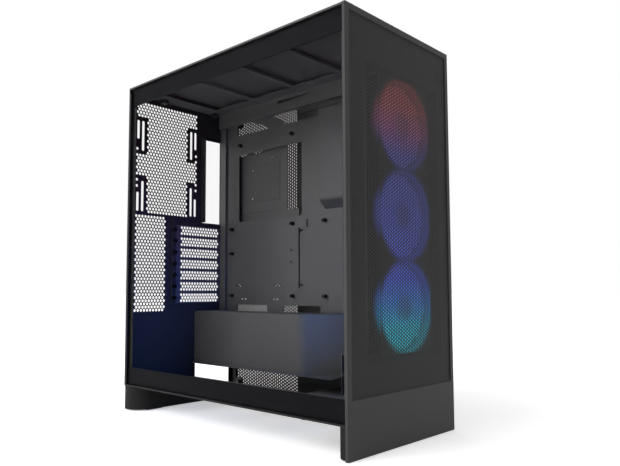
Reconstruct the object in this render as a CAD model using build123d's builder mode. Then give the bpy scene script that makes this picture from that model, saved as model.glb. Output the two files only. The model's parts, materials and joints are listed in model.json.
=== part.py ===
from build123d import *
import os
from math import cos, radians, sin, sqrt

os.makedirs("parts", exist_ok=True)

# Overall size, in millimetres. Front is -Y, the glass side is -X, the ground is Z = 0.
width = 244
depth = 468
height = 544

# Sheet metal and fits
sheet = 1.2
clear = 0.3
edge_round = 1.0
overcut = 1

# Side panels
glass_thick = 4
rail_thick = 1.7
top_band = 30
bottom_band = 27.5
panel_front_gap = 0.6
rear_lip = 5
return_flange = 26
panel_drop = 1
vent_long = 157.2
vent_margin = 6
vent_top_margin = 12
vent_frame = 10
clip_frame = 7

# Front and top panels
front_thick = 4.5
front_border = 8
front_solid = 69
mesh_thick = 0.8
mesh_inset = 1.2
grille_count = 12
side_open = 0.25
top_open = 0.2
front_rise = 0.5
top_thick = 3
top_border = 11
top_front_strip = 40
top_rear_strip = 27
lug_wide = 18
lug_tall = 16
skirt_inset = 1
skirt_end = 10
strip_deep = 23

# Feet and floor
leg_height = 39.5
pad_height = 2
pad_inset = 6
pad_edge = 1
pad_long = 30
front_pad_inset = 18
rear_pad_inset = 24
front_foot_thick = 7
rear_foot_deep = 38
rear_foot_round = 28
foot_corner = 4
floor_lip = 2.5
floor_flange = 26
floor_flange_front = 12
flange_rear_gap = 30
bottom_inset = 16
bottom_gap = 12
bottom_end = 10
bottom_count = 3
bottom_bar = 10

# Chassis frame
ceiling_drop = 10
frame_flange = 20
flange_end = 1
top_left_inset = 20
top_right_gap = 24
top_front_inset = 45.2
top_rear_inset = 34
top_count = 4
top_bar = 12
pillar_depth = 4
rear_pillar_depth = 8
bay_wide = 93
bay_long = 274
bay_drop = 31.5
bay_tab_tall = 23
bay_tab_half = 8
tray_space = 29
tray_rear_gap = 16.8
tray_front_gap = 109.2
rail_gap = 17
rail_tall = 27
rail_shelf = 9
rail_reach = 30
rail_rear_gap = 12
rail_slot_back = 192
rail_slot_drop = 9
rail_slot_long = 70
rail_slot_wide = 5

# Motherboard pattern: spacings of the standard board, and its top rear hole from the ceiling and the rear
board_inset = 34.2
board_drop = 64.65
column_inner = 22.86
column_middle = 154.94
column_front = 227.33
row_middle = 157.48
row_small = 203.2
row_bottom = 281.94
standoff_height = 6.5
standoff_flats = 6
standoff_bore = 1.5

# Tray cut-outs: back is ahead of the board's rear column, down is below its top row
cpu_back = 16.8
cpu_down = 17.35
cpu_long = 159
cpu_tall = 127
cpu_round = 4
cable_drop = 14
cable_tall = 30
cable_back = 11.8
cable_long = 80
cable_slope = 70
cable_step = 4.5
second_gap = 12
second_long = 120
second_slope = 31.7
second_step = 11
knee_slope = 28.7
knee_step = 8.2
notch_height = 11
notch_spans = ((11.8, 90.8), (132.8, 215.8))
slit_back = 169.3
slit_wide = 3.2
slit_down = 165.35
slit_tall = 103
slit_hook = 8.5
hook_inset = 3.6
tie_places = ((188.2, 163.35), (188.2, 158.35), (188.2, 153.35), (151.2, 202.65), (151.2, 223.35))
tie_radius = 2
loop_places = ((29.4, 288), (111.1, 288), (18, 263), (117.6, 263))
loop_long = 15
loop_tall = 3.2

# Fan unit and its pocket in the front frame
fan_x = 12
fan_drop = 238
fan_size = 120
fan_gap = 1
fan_deep = 25
fan_wall = 2
fan_hole_inset = 7.5
fan_corner = 4
pocket_inset = 36
pocket_end = 7
gleam_gap = 3.2
gleam_wide = 2.4
gleam_inset = 18
window_rim = 1.5
hub_radius = 21
hub_wall = 2
tip_gap = 2
rotor_gap = 3
blade_count = 9
blade_thick = 2
blade_pitch = 42
motor_radius = 17
shaft_radius = 1.5
shaft_fit = 0.05
shaft_seat = 11
strut_wide = 5
strut_deep = 4
led_thick = 1.6
led_inset = 1
cup_gap = 1.2
screw_radius = 2
screw_head = 2
fan_screw_long = 10

# Rear panel openings
hole_pitch = 6.24
hole_across = 5.0
field_inset = 11
field_gap = 14.2
field_rise = 10
field_drop = 9
lower_gap = 10
lower_rise = 3
rear_fan_drop = 121
rear_fan_edge = 3.5
rear_fan_step = 19.5
slot_wide = 5.2
slot_near = 26.5
slot_near_large = 46.4
slot_far = 79.5
slot_side = 4.2
slot_end = 8
io_gap = 5.35
io_wide = 44.45
io_rise = 13.4
io_tall = 158.75
io_lip = 12
psu_margin = 2
psu_wide = 82
psu_rise = 10
psu_head = 12

# Expansion slots
slot_count = 7
slot_pitch = 20.32
slot_down = 163.35
slot_gap = 3.5
slot_long = 100
slot_open = 16.6
cover_wide = 19.6
cover_end = 3.5
cover_inset = 1
cover_columns = 14
cover_rows = 3
retainer_gap = 16.5
retainer_wide = 10
retainer_thick = 3
retainer_under = 3
retainer_over = 15
thumb_radius = 3.6
thumb_tall = 5

# Shroud, covers, drive plate and cage
shroud_gap = 22.3
shroud_down = 27.41
shroud_short = 5
shroud_turn = 10
shroud_lip = 7
shroud_leg = 10
cover_gap = 5
cover_rise = 5
cover_proud = 18
cover_bevel = 14
plate_gap = 9
plate_over = 27
plate_short = 43
plate_under = 5
plate_above = 4
plate_hole_places = ((53, 34), (104, 15), (53, 89))
plate_tab_long = 27
plate_tab_tall = 15
plate_notch_deep = 5.5
plate_notch_spans = ((15.5, 39), (55.5, 79.5))
post_inset = 8
post_drop = 12
post_rise = 10
ear_half = 6
groove_wide = 2
groove_deep = 0.8
groove_inset = 20
groove_rise = 39
groove_extra = 6
groove_step = 19
drive_long = 100
drive_wide = 70
cage_front_gap = 29.2
cage_rear_gap = 56
cage_right_gap = 4
cage_tall = 62
cage_gap = 6

# Dust filter under the floor
filter_inset = 12
filter_end = 84
filter_thick = 3.5
filter_border = 8
filter_gap = 2
filter_corner = 3
runner_ledge = 4

# Clips between the panels and the chassis
stud_radius = 2
ball_radius = 2.5
stud_reach = 8
socket_side = 10
socket_deep = 6
glass_clip_inset = 49
bay_clip_inset = 50
right_clip_inset = 22
panel_clip_inset = 15
front_clip_inset = 17
front_clip_low = 13
front_clip_rise = 4
front_clip_drop = 32
top_clip_inset = 64
top_clip_front_gap = 31.2
top_clip_rear_gap = 13

# Front connectors, along the top front edge
port_inset = 13.2
port_drop = 13
button_inset = 21
usb_a_steps = (67, 47)
usb_a_size = (13.2, 5.8)
usb_c_step = 29
usb_c_size = (9.2, 3.4)
audio_step = 15
audio_radius = 3
button_radius = 6
button_travel = 1.2
stem_radius = 3
port_wall = 0.6
port_sink = 0.6
port_gap = 0.5
board_thick = 1.6
board_half = 8
hanger_start = 8
hanger_end = 4
guide_wall = 1.5
guide_short = 1
tongue_gap = 1.2
tongue_side = 0.5
tongue_short = 1
usb_a_tongue = 1.8
usb_c_tongue = 0.8
audio_wall = 1.2
switch_tall = 4

# Places worked out from the sizes
half_width = width / 2
half_depth = depth / 2
front_back = -half_depth + front_thick
frame_front = front_back + clear
rear_inside = half_depth - sheet
side = half_width - glass_thick - rail_thick - clear
top_low = height - top_thick
panel_top = top_low - clear
floor_top = leg_height + sheet
lip_top = leg_height + floor_lip
glass_low = lip_top + clear
bay_low = leg_height - bay_drop
bay_floor = bay_low + sheet
bay_left = side - bay_wide
bay_front = half_depth - bay_long
panel_front = front_back + panel_front_gap - clear
panel_rear = half_depth - rear_lip - clear
ceiling = height - ceiling_drop
ceiling_top = ceiling + sheet
board_rear = half_depth - board_inset
board_top = ceiling - board_drop
tray_left = side - tray_space
tray_back = tray_left + sheet
tray_rear = half_depth - tray_rear_gap
tray_front = frame_front + tray_front_gap
rail_left = tray_left - rail_gap
rail_low = ceiling - rail_tall
rail_front = tray_front - rail_reach
rail_rear = half_depth - rail_rear_gap
top_left = -side + top_left_inset
top_right = rail_left - top_right_gap
top_front = frame_front + top_front_inset
top_rear = half_depth - top_rear_inset
cpu_rear = board_rear - cpu_back
cpu_front = cpu_rear - cpu_long
cpu_high = board_top - cpu_down
cpu_low = cpu_high - cpu_tall
cable_rear = board_rear - cable_back
cable_middle = cable_rear - cable_long
cable_high = ceiling - cable_drop
cable_low = cable_high - cable_tall
second_rear = cable_middle - second_gap
second_front = second_rear - second_long
slit_y = board_rear - slit_back
slit_high = board_top - slit_down
slit_low = slit_high - slit_tall
tie_holes = [(board_rear - back, board_top - down) for back, down in tie_places]
loop_holes = [(board_rear - back, board_top - down) for back, down in loop_places]
fan_mid = ceiling - fan_drop
fan_pitch = fan_size + fan_gap
fan_bore = fan_size / 2 - fan_wall
fan_holes = fan_size - 2 * fan_hole_inset
fan_window = fan_bore - window_rim
rotor_radius = fan_bore - tip_gap
fan_front = frame_front + clear
fan_back = fan_front + fan_deep
pocket_back = fan_back + sheet
fan_low = fan_mid - fan_pitch - fan_size / 2
fan_high = fan_mid + fan_pitch + fan_size / 2
fan_heights = [fan_mid + fan_pitch, fan_mid, fan_mid - fan_pitch]
pocket_half = half_width - pocket_inset
pocket_left = fan_x - pocket_half
pocket_right = fan_x + pocket_half
pocket_low = fan_low - pocket_end
pocket_high = fan_high + pocket_end
gleam_right = pocket_left - gleam_gap
shroud_left = bay_left
shroud_low = floor_top + shroud_gap
shroud_high = board_top - row_bottom - shroud_down
shroud_bend = bay_front
shroud_front = tray_front + shroud_short
io_left = tray_left - io_gap - io_wide
io_low = board_top + io_rise - io_tall
psu_left = bay_left + psu_margin
psu_low = bay_low + psu_rise
psu_high = shroud_high - psu_head
slot_top = board_top - slot_down
slot_right = tray_left - slot_gap
slot_left = slot_right - slot_long
slot_heights = [slot_top - index * slot_pitch for index in range(slot_count)]
retainer_left = slot_left - retainer_gap
cover_left = retainer_left + cover_inset
cover_right = slot_right + cover_end
cover_back = rear_inside - sheet
retainer_back = cover_back - retainer_thick
thumb_x = retainer_left + retainer_wide / 2
field_left = -side + field_inset
field_right = io_left - field_gap
field_low = io_low + field_rise
field_high = ceiling - field_drop
lower_right = retainer_left - lower_gap
lower_low = shroud_high + lower_rise
rear_fan_x = (field_left + field_right) / 2
rear_fan_z = ceiling - rear_fan_drop
rear_fan_large = field_right - field_left - rear_fan_edge
rear_fan_small = rear_fan_large - rear_fan_step
plate_rear = cpu_rear + plate_over
plate_front = cpu_front + plate_short
plate_low = cpu_low - plate_under
plate_high = cpu_high + plate_above
plate_holes = [(plate_rear - back, plate_high - down) for back, down in plate_hole_places]
cover_rear = second_front - cover_gap
cover_low = cpu_low + cover_rise
cage_front = frame_front + cage_front_gap
cage_rear = bay_front - cage_rear_gap
cage_right = side - cage_right_gap
filter_left = -side + filter_inset
filter_half = half_depth - filter_end
bottom_left = -side + bottom_inset
bottom_half = filter_half - bottom_end
mesh_front = -half_depth + mesh_inset
clip_hole = ball_radius + clear
low_clip_z = glass_low + panel_clip_inset
high_clip_z = panel_top - panel_clip_inset
bay_clip_z = bay_low + panel_clip_inset
glass_clip_y = half_depth - glass_clip_inset
glass_clip_ys = (-glass_clip_y, glass_clip_y)
bay_clip_y = bay_front + bay_clip_inset
right_clip_y = half_depth - right_clip_inset
right_clip_ys = (-glass_clip_y, right_clip_y)
bay_clip_ys = (bay_clip_y, right_clip_y)
vent_rear = panel_rear - vent_margin
vent_front = vent_rear - vent_long
front_flange_end = vent_front - vent_frame
rear_flange_start = right_clip_y - clip_frame
front_clip_x = half_width - front_clip_inset
front_clip_z = (front_solid - front_clip_low, fan_mid + front_clip_rise, ceiling - front_clip_drop)
top_clip_x = half_width - top_clip_inset
top_clip_front = frame_front + top_clip_front_gap
top_clip_rear = half_depth - top_clip_rear_gap
port_y = frame_front + port_inset
port_low = ceiling - port_drop
button_x = half_width - button_inset
usb_a_x = [button_x - step for step in usb_a_steps]
usb_c_x = button_x - usb_c_step
audio_x = button_x - audio_step
row_pitch = hole_pitch * sqrt(3) / 2

# Standoffs as (distance behind the rear column, distance below the top row)
standoff_places = [
    (column_inner, 0),
    (column_middle, 0),
    (0, row_middle),
    (column_middle, row_middle),
    (column_front, row_middle),
    (0, row_small),
    (0, row_bottom),
    (column_middle, row_bottom),
    (column_front, row_bottom),
]


def block(low, high, mode=Mode.ADD):
    """Box between two corners."""
    size = [b - a for a, b in zip(low, high)]
    middle = tuple((a + b) / 2 for a, b in zip(low, high))
    with Locations(middle):
        Box(*size, mode=mode)


def rod(start, direction, length, radius, mode=Mode.ADD):
    """Round bar from a start point along a direction."""
    with Locations(Plane(origin=start, z_dir=direction).location):
        Cylinder(radius, length, align=(Align.CENTER, Align.CENTER, Align.MIN), mode=mode)


def window(low, high, mode=Mode.SUBTRACT):
    """Rectangle between two corners of a sketch."""
    with Locations(((low[0] + high[0]) / 2, (low[1] + high[1]) / 2)):
        Rectangle(high[0] - low[0], high[1] - low[1], mode=mode)


def grille(low, high, share):
    """Sheet between two corners of a sketch, with a grid of openings over a share of it."""
    window(low, high, Mode.ADD)
    pitch = [(b - a) / grille_count for a, b in zip(low, high)]
    with Locations(((low[0] + high[0]) / 2, (low[1] + high[1]) / 2)):
        with GridLocations(pitch[0], pitch[1], grille_count, grille_count):
            Rectangle(pitch[0] * sqrt(share), pitch[1] * sqrt(share), mode=Mode.SUBTRACT)


def dots(places, radius, mode=Mode.SUBTRACT):
    """Circles at a list of places of a sketch."""
    with Locations(*places):
        Circle(radius, mode=mode)


def save(piece, name):
    """Label a finished piece and write it."""
    piece.part.label = name
    export_step(piece.part, f"parts/{name}.step")


def round_hole(place, across, y=half_depth):
    """Circle as a wire in an upright plane, by default the rear panel's outer face."""
    return Wire.make_circle(across / 2, Plane(origin=(place[0], y, place[1]), z_dir=(0, 1, 0)))


def staggered(left, right, low, high):
    """Places of a staggered hole field, row by row from the bottom."""
    places = []
    for row in range(int((high - low) / row_pitch) + 1):
        start = left + (row % 2) * hole_pitch / 2
        count = int((right - start) / hole_pitch) + 1
        places += [(start + step * hole_pitch, low + row * row_pitch) for step in range(count)]
    return places


def slot_outline(x, low, high):
    """Upright slot with round ends, as a wire in the rear panel's outer face."""
    half = slot_wide / 2
    with BuildLine(Plane.XZ.offset(-half_depth)) as outline:
        Line((x - half, low + half), (x - half, high - half))
        ThreePointArc((x - half, high - half), (x, high), (x + half, high - half))
        Line((x + half, high - half), (x + half, low + half))
        ThreePointArc((x + half, low + half), (x, low), (x - half, low + half))
    return outline.wire()


def rectangle_outline(left, low, right, high, y=half_depth):
    """Rectangle as a wire in an upright plane, by default the rear panel's outer face."""
    corners = [(left, low), (right, low), (right, high), (left, high)]
    return Wire.make_polygon([(x, y, z) for x, z in corners])


def spans(start, end, count, bar):
    """Equal openings between two ends, with bars of one width between them."""
    pitch = (end - start + bar) / count
    return [(start + step * pitch, start + (step + 1) * pitch - bar) for step in range(count)]


# Floor of the main chamber, with the filter's runners under it
with BuildPart() as floor_pan:
    with BuildSketch(Plane.XY.offset(leg_height)):
        window((-half_width, frame_front), (bay_left + sheet, rear_inside), Mode.ADD)
        window((bay_left, frame_front), (side, bay_front), Mode.ADD)
        for near, far in spans(-bottom_half, bottom_half, bottom_count, bottom_bar):
            window((bottom_left, near), (bay_left - bottom_gap, far))
    extrude(amount=sheet)
    block((-half_width, frame_front, leg_height), (-half_width + sheet, half_depth - rear_lip, lip_top))
    block(
        (-side, frame_front + floor_flange_front, leg_height),
        (-side + sheet, rear_inside - flange_rear_gap, leg_height + floor_flange),
    )
    for runner in (-1, 1):
        inner = runner * (filter_half + clear)
        outer = runner * (filter_half + clear + sheet)
        ledge = runner * (filter_half + clear - runner_ledge)
        drop = leg_height - filter_thick - 2 * clear - sheet
        block((filter_left, min(inner, outer), drop), (bay_left, max(inner, outer), leg_height))
        block((filter_left, min(ledge, inner), drop), (bay_left, max(ledge, inner), drop + sheet))
    for y in glass_clip_ys:
        rod((-side - sheet, y, low_clip_z), (1, 0, 0), 3 * sheet, clip_hole, Mode.SUBTRACT)
save(floor_pan, "floor_pan")

# Dropped pan of the power supply bay
with BuildPart() as psu_pan:
    block((bay_left, bay_front, bay_low), (side, rear_inside, bay_floor))
    block((bay_left, bay_front, bay_low), (bay_left + sheet, rear_inside, leg_height))
    block((bay_left, bay_front - sheet, bay_low), (side, bay_front, leg_height))
    for y in bay_clip_ys:
        tab_low = (side - sheet, y - bay_tab_half, bay_low)
        block(tab_low, (side, y + bay_tab_half, bay_low + bay_tab_tall))
        rod((side - 2 * sheet, y, bay_clip_z), (1, 0, 0), 3 * sheet, clip_hole, Mode.SUBTRACT)
save(psu_pan, "psu_pan")

# Rear panel: one perforated sheet
fan_slots = []
for across, near in ((rear_fan_small, slot_near), (rear_fan_large, slot_near_large)):
    for way_x in (-1, 1):
        x = rear_fan_x + way_x * across / 2
        fan_slots.append((x, rear_fan_z + near, rear_fan_z + slot_far))
        fan_slots.append((x, rear_fan_z - slot_far, rear_fan_z - near))
field = staggered(field_left, field_right, field_low, field_high)
field += staggered(field_left, lower_right, lower_low, field_low - hole_pitch)


def clear_of_slots(place):
    """True where a hole stays off the fan slots' plain margins."""
    reach = hole_across / 2 + slot_wide / 2 + slot_side
    for x, low, high in fan_slots:
        beside = abs(place[0] - x) < reach
        if beside and low - slot_end < place[1] < high + slot_end:
            return False
    return True


with BuildPart() as rear_panel:
    corners = [(-half_width, leg_height), (bay_left, leg_height), (bay_left, bay_low)]
    corners += [(half_width, bay_low), (half_width, panel_top), (-half_width, panel_top)]
    openings = [round_hole(place, hole_across) for place in field if clear_of_slots(place)]
    openings += [slot_outline(*slot) for slot in fan_slots]
    openings.append(rectangle_outline(io_left, io_low, io_left + io_wide, io_low + io_tall))
    openings.append(rectangle_outline(psu_left, psu_low, psu_left + psu_wide, psu_high))
    for z in slot_heights:
        openings.append(rectangle_outline(slot_left, z - slot_open / 2, slot_right, z + slot_open / 2))
        openings.append(round_hole((thumb_x, z), 2 * screw_radius + clear))
    wall = Face(Wire.make_polygon([(x, half_depth, z) for x, z in corners]), openings)
    extrude(to_extrude=wall, amount=sheet, dir=(0, -1, 0))
    block((io_left - sheet, rear_inside - io_lip, io_low), (io_left, rear_inside, io_low + io_tall))
save(rear_panel, "rear_panel")

# Folded pillars at the rear panel's two sides
with BuildPart() as rear_pillars:
    for way, pillar_low in ((-1, floor_top), (1, bay_floor)):
        outer = way * half_width
        inner = way * side
        with BuildSketch(Plane.XY.offset(pillar_low)):
            with BuildLine():
                Polyline(
                    (outer, rear_inside),
                    (outer, half_depth - rear_lip),
                    (inner, half_depth - rear_lip),
                    (inner, half_depth - rear_lip - rear_pillar_depth),
                    (inner - way * sheet, half_depth - rear_lip - rear_pillar_depth),
                    (inner - way * sheet, half_depth - rear_lip + sheet),
                    (outer - way * sheet, half_depth - rear_lip + sheet),
                    (outer - way * sheet, rear_inside),
                    close=True,
                )
            make_face()
        extrude(amount=ceiling - pillar_low)
save(rear_pillars, "rear_pillars")

# Expansion slot covers, each with its own hole field
cover_span = (cover_columns - 1) * hole_pitch
cover_start = (slot_left + slot_right - cover_span - hole_pitch / 2) / 2
for number, z in enumerate(slot_heights, start=1):
    cover_holes = []
    for row in range(cover_rows):
        start = cover_start + (row % 2) * hole_pitch / 2
        level = z + (row - (cover_rows - 1) / 2) * row_pitch
        places = [(start + step * hole_pitch, level) for step in range(cover_columns)]
        cover_holes += [round_hole(place, hole_across, rear_inside) for place in places]
    cover_holes.append(round_hole((thumb_x, z), 2 * screw_radius + clear, rear_inside))
    outline = rectangle_outline(cover_left, z - cover_wide / 2, cover_right, z + cover_wide / 2, rear_inside)
    with BuildPart() as slot_cover:
        extrude(to_extrude=Face(outline, cover_holes), amount=sheet, dir=(0, -1, 0))
    save(slot_cover, f"slot_cover_{number}")

# Bar that clamps the covers' ends, and its thumb screws
retainer_low = slot_heights[-1] - slot_pitch / 2 - retainer_under
retainer_high = slot_top + slot_pitch / 2 + retainer_over
with BuildPart() as slot_retainer:
    block(
        (retainer_left, retainer_back, retainer_low),
        (retainer_left + retainer_wide, cover_back, retainer_high),
    )
    fillet(slot_retainer.edges().filter_by(Axis.Z).group_by(Axis.Y)[0], retainer_thick / 3)
    for z in slot_heights:
        start = (thumb_x, retainer_back - overcut, z)
        rod(start, (0, 1, 0), retainer_thick + 2 * overcut, screw_radius + clear / 2, Mode.SUBTRACT)
save(slot_retainer, "slot_retainer")

with BuildPart() as slot_screws:
    for z in slot_heights:
        rod((thumb_x, retainer_back - thumb_tall, z), (0, 1, 0), thumb_tall, thumb_radius)
        rod((thumb_x, retainer_back, z), (0, 1, 0), half_depth - retainer_back, screw_radius - clear / 2)
save(slot_screws, "slot_screws")

# Front frame: a rim with side pillars and a narrow slit, round the opening for the fan unit
fan_screw_places = []
for z in fan_heights:
    for way_x in (-1, 1):
        for way_z in (-1, 1):
            fan_screw_places.append((fan_x + way_x * fan_holes / 2, z + way_z * fan_holes / 2))
front_clip_places = [(way * front_clip_x, z) for way in (-1, 1) for z in front_clip_z]
with BuildPart() as front_frame:
    with BuildSketch(Plane.XZ.offset(-frame_front)):
        window((-side, floor_top), (side, ceiling), Mode.ADD)
        window((pocket_left, pocket_low), (pocket_right, pocket_high))
        window((gleam_right - gleam_wide, fan_low + gleam_inset), (gleam_right, fan_high - gleam_inset))
        dots(front_clip_places, clip_hole)
    extrude(amount=-sheet)
    for way in (-1, 1):
        pillar = sorted((way * side, way * (side - sheet)))
        block((pillar[0], frame_front, floor_top), (pillar[1], frame_front + sheet + pillar_depth, ceiling))
save(front_frame, "front_frame")

# Pocket behind the front frame: four walls, and a plate with a window for each fan
pocket_front = frame_front + sheet
wall_low = (pocket_left - sheet, pocket_low - sheet)
wall_high = (pocket_right + sheet, pocket_high + sheet)
with BuildPart() as fan_pocket:
    with BuildSketch(Plane.XZ.offset(-pocket_front)):
        window(wall_low, wall_high, Mode.ADD)
        window((pocket_left, pocket_low), (pocket_right, pocket_high))
    extrude(amount=pocket_front - fan_back)
save(fan_pocket, "fan_pocket")

with BuildPart() as fan_plate:
    with BuildSketch(Plane.XZ.offset(-fan_back)):
        window(wall_low, wall_high, Mode.ADD)
        dots([(fan_x, z) for z in fan_heights], fan_window)
        dots(fan_screw_places, screw_radius + clear / 2)
    extrude(amount=-sheet)
save(fan_plate, "fan_plate")

# Fan unit: one long frame with three bores, struts and motor seats
with BuildPart() as fan_frame:
    with BuildSketch(Plane.XZ.offset(-fan_front)):
        window((fan_x - fan_size / 2, fan_low), (fan_x + fan_size / 2, fan_high), Mode.ADD)
        dots([(fan_x, z) for z in fan_heights], fan_bore)
        dots(fan_screw_places, screw_radius + clear / 2)
    extrude(amount=-fan_deep)
    fillet(fan_frame.edges().filter_by(Axis.Y).group_by(Axis.Z)[0], fan_corner)
    fillet(fan_frame.edges().filter_by(Axis.Y).group_by(Axis.Z)[-1], fan_corner)
    with BuildSketch(Plane.XZ.offset(-fan_back)):
        for z in fan_heights:
            with Locations((fan_x, z)):
                Circle(hub_radius)
                Rectangle(strut_wide, 2 * fan_bore + strut_wide, rotation=45)
                Rectangle(strut_wide, 2 * fan_bore + strut_wide, rotation=-45)
    extrude(amount=strut_deep)
save(fan_frame, "fan_frame")

seat_y = fan_back - strut_deep
cup_back = seat_y - led_thick - cup_gap
cup_front = fan_front + rotor_gap
cup_deep = cup_back - cup_front
cup_middle = (cup_front + cup_back) / 2
motor_front = cup_front + hub_wall + cup_gap
blade_chord = (cup_deep - blade_thick * cos(radians(blade_pitch))) / sin(radians(blade_pitch))
blade_long = rotor_radius - hub_radius + hub_wall / 2
blade_middle = rotor_radius - blade_long / 2

with BuildPart() as fan_leds:
    for z in fan_heights:
        with BuildSketch(Plane.XZ.offset(-(seat_y - led_thick))):
            with Locations((fan_x, z)):
                Circle(hub_radius - led_inset)
                Circle(motor_radius / 2, mode=Mode.SUBTRACT)
        extrude(amount=-led_thick)
save(fan_leds, "fan_leds")

bore_deep = shaft_seat + overcut
with BuildPart() as fan_motors:
    for z in fan_heights:
        rod((fan_x, motor_front, z), (0, 1, 0), seat_y - led_thick - motor_front, motor_radius)
        rod((fan_x, motor_front, z), (0, 1, 0), seat_y - motor_front, motor_radius / 2 - clear)
        rod((fan_x, motor_front, z), (0, 1, 0), bore_deep, shaft_radius + shaft_fit, Mode.SUBTRACT)
save(fan_motors, "fan_motors")

for number, z in enumerate(fan_heights, start=1):
    with BuildPart() as fan_rotor:
        cup_inside = (fan_x, cup_front + hub_wall, z)
        rod((fan_x, cup_front, z), (0, 1, 0), cup_deep, hub_radius)
        rod(cup_inside, (0, 1, 0), cup_deep, hub_radius - hub_wall, Mode.SUBTRACT)
        rod((fan_x, cup_front, z), (0, 1, 0), motor_front - cup_front + shaft_seat, shaft_radius)
        for step in range(blade_count):
            turn = 360 / blade_count * step
            place = (
                fan_x + blade_middle * cos(radians(turn)),
                cup_middle,
                z + blade_middle * sin(radians(turn)),
            )
            with Locations(Location(place, (0, -turn, 0))):
                Box(blade_long, blade_thick, blade_chord, rotation=(90 - blade_pitch, 0, 0))
        with Locations(Location((fan_x, cup_middle, z), (90, 0, 0))):
            Cylinder(rotor_radius, cup_deep, mode=Mode.INTERSECT)
    save(fan_rotor, f"fan_rotor_{number}")

with BuildPart() as fan_screws:
    for x, z in fan_screw_places:
        rod((x, pocket_back, z), (0, 1, 0), screw_head, 2 * screw_radius)
        rod((x, pocket_back, z), (0, -1, 0), fan_screw_long, screw_radius - clear / 2)
save(fan_screws, "fan_screws")

# Top frame with its cross bars, side flanges and connector openings
top_clip_places = [(way * top_clip_x, y) for way in (-1, 1) for y in (top_clip_front, top_clip_rear)]


def port_openings(room):
    """Openings for the front connectors and the power button, with room round each."""
    for x in usb_a_x:
        with Locations((x, port_y)):
            Rectangle(usb_a_size[0] + 2 * room, usb_a_size[1] + 2 * room, mode=Mode.SUBTRACT)
    with Locations((usb_c_x, port_y)):
        Rectangle(usb_c_size[0] + 2 * room, usb_c_size[1] + 2 * room, mode=Mode.SUBTRACT)
    dots([(audio_x, port_y)], audio_radius + room)
    dots([(button_x, port_y)], button_radius + room)


with BuildPart() as top_frame:
    with BuildSketch(Plane.XY.offset(ceiling)):
        window((-side, frame_front), (side, rear_inside), Mode.ADD)
        for near, far in spans(top_front, top_rear, top_count, top_bar):
            window((top_left, near), (top_right, far))
        dots(top_clip_places, clip_hole)
        port_openings(port_gap)
    extrude(amount=sheet)
    flange_front = frame_front + sheet + pillar_depth + flange_end
    flange_rear = half_depth - rear_lip - rear_pillar_depth - flange_end
    flange_low = ceiling - frame_flange
    block((-side, flange_front, flange_low), (-side + sheet, flange_rear, ceiling))
    for near, far in ((flange_front, front_flange_end), (rear_flange_start, flange_rear)):
        block((side - sheet, near, flange_low), (side, far, ceiling))
    for way, clip_ys in ((-1, glass_clip_ys), (1, right_clip_ys)):
        for y in clip_ys:
            rod((way * side - 2 * sheet, y, high_clip_z), (1, 0, 0), 4 * sheet, clip_hole, Mode.SUBTRACT)
save(top_frame, "top_frame")

# Connector strip along the front edge of the top, with folds down to the top frame
strip_rear = frame_front + strip_deep
with BuildPart() as top_strip:
    with BuildSketch(Plane.XY.offset(top_low)):
        window((-half_width, frame_front), (half_width, strip_rear), Mode.ADD)
        port_openings(port_gap)
    extrude(amount=top_thick)
    fillet(top_strip.edges().filter_by(Axis.Y).group_by(Axis.Z)[-1].group_by(Axis.X)[0], edge_round)
    fillet(top_strip.edges().filter_by(Axis.Y).group_by(Axis.Z)[-1].group_by(Axis.X)[-1], edge_round)
    for fold_front in (frame_front, strip_rear - sheet):
        block((-side, fold_front, ceiling_top), (side, fold_front + sheet, top_low))
save(top_strip, "top_strip")

# Motherboard tray, with a raised fold along its rear edge
standoffs_yz = [(board_rear - back, board_top - down) for back, down in standoff_places]
with BuildPart() as motherboard_tray:
    with BuildSketch(Plane.YZ.offset(tray_left)):
        window((tray_front, shroud_high), (tray_rear, ceiling), Mode.ADD)
        with Locations(((cpu_rear + cpu_front) / 2, (cpu_low + cpu_high) / 2)):
            RectangleRounded(cpu_rear - cpu_front, cpu_high - cpu_low, cpu_round, mode=Mode.SUBTRACT)
        with BuildLine():
            Polyline(
                (cable_rear, cable_low),
                (cable_rear, cable_high),
                (cable_middle + cable_slope, cable_high),
                (cable_middle, cable_low + cable_step),
                (cable_middle, cable_low),
                close=True,
            )
        make_face(mode=Mode.SUBTRACT)
        with BuildLine():
            Polyline(
                (second_rear - second_slope, cable_low),
                (second_rear - knee_slope, cable_low + knee_step),
                (second_rear, cable_high - second_step),
                (second_rear, cable_high),
                (second_front, cable_high),
                (second_front, cable_low),
                close=True,
            )
        make_face(mode=Mode.SUBTRACT)
        for near, far in notch_spans:
            window((board_rear - far, shroud_high), (board_rear - near, shroud_high + notch_height))
        window((slit_y - slit_wide / 2, slit_low), (slit_y + slit_wide / 2, slit_high))
        for hook_low in (slit_low + hook_inset, slit_high - hook_inset - slit_wide):
            window((slit_y - slit_hook, hook_low), (slit_y, hook_low + slit_wide))
        dots(tie_holes, tie_radius)
        with Locations(*loop_holes):
            Rectangle(loop_long, loop_tall, mode=Mode.SUBTRACT)
        dots(standoffs_yz, standoff_bore)
    extrude(amount=sheet)
    fold_left = tray_left - io_gap
    block((fold_left, tray_rear - sheet, shroud_high), (tray_left, tray_rear, ceiling))
    block((fold_left, tray_rear - sheet, shroud_high), (fold_left + sheet, cover_back, ceiling))
save(motherboard_tray, "motherboard_tray")

with BuildPart() as standoffs:
    with BuildSketch(Plane.YZ.offset(tray_left)):
        with Locations(*standoffs_yz):
            RegularPolygon(standoff_flats / 2, 6, major_radius=False)
            Circle(standoff_bore, mode=Mode.SUBTRACT)
    extrude(amount=-standoff_height)
save(standoffs, "standoffs")

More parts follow.
